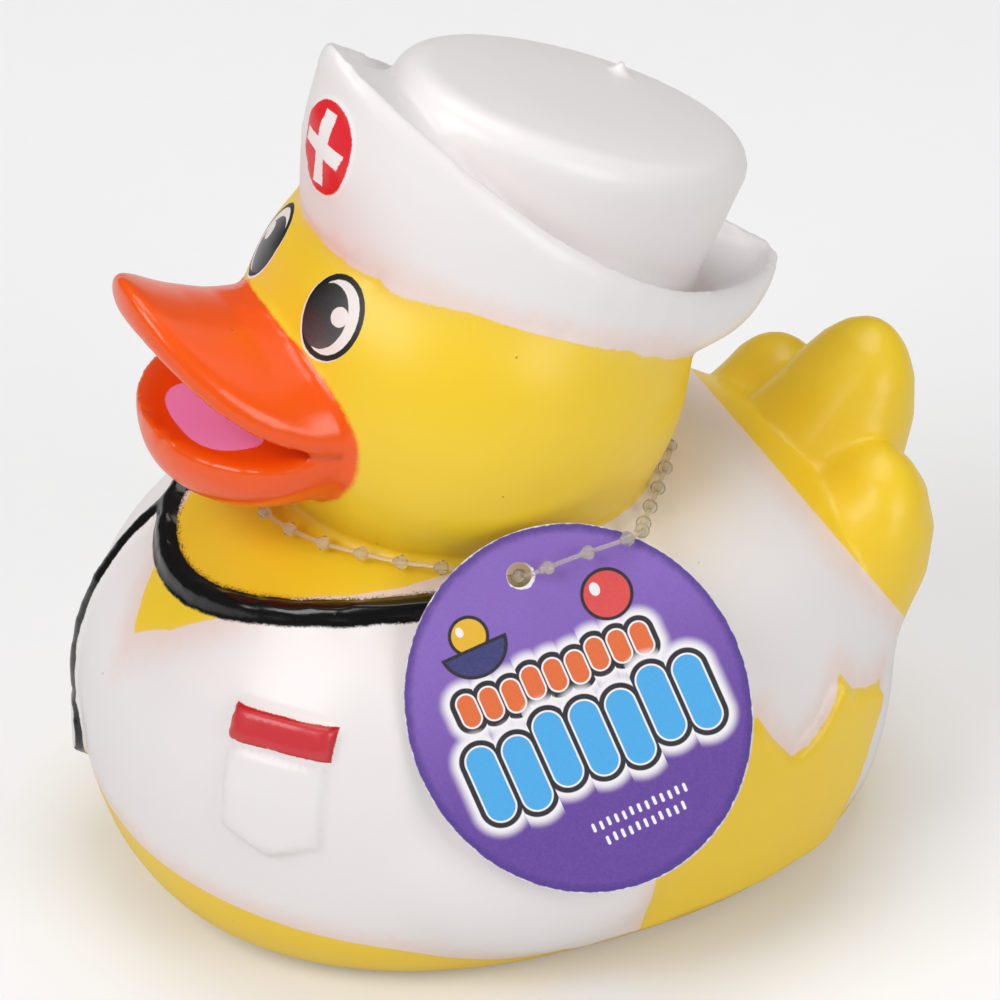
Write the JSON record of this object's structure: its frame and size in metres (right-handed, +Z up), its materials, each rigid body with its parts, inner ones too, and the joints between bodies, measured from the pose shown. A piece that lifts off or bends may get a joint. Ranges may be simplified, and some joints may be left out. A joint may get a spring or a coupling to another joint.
{
  "type": "rubber duck",
  "caption": "Hollow vinyl bath duck moulded as a nurse, with a tilted white hat, open orange bill, stethoscope and a card tag on a beaded tie.",
  "frame": {"origin": "on the surface that the duck stands on, under the middle of the moulding's width and length", "axes": "+Z up, -Y the way the bill points, +X the duck's left side"},
  "size_m": [0.1087, 0.1218, 0.1287],
  "materials": {
    "vinyl": "satin",
    "nylon": "gloss",
    "card": "gloss"
  },
  "bodies": {
    "root": {"duck_shell": "vinyl", "tag_tie": "nylon", "hang_tag": "card"}
  },
  "joints": []
}
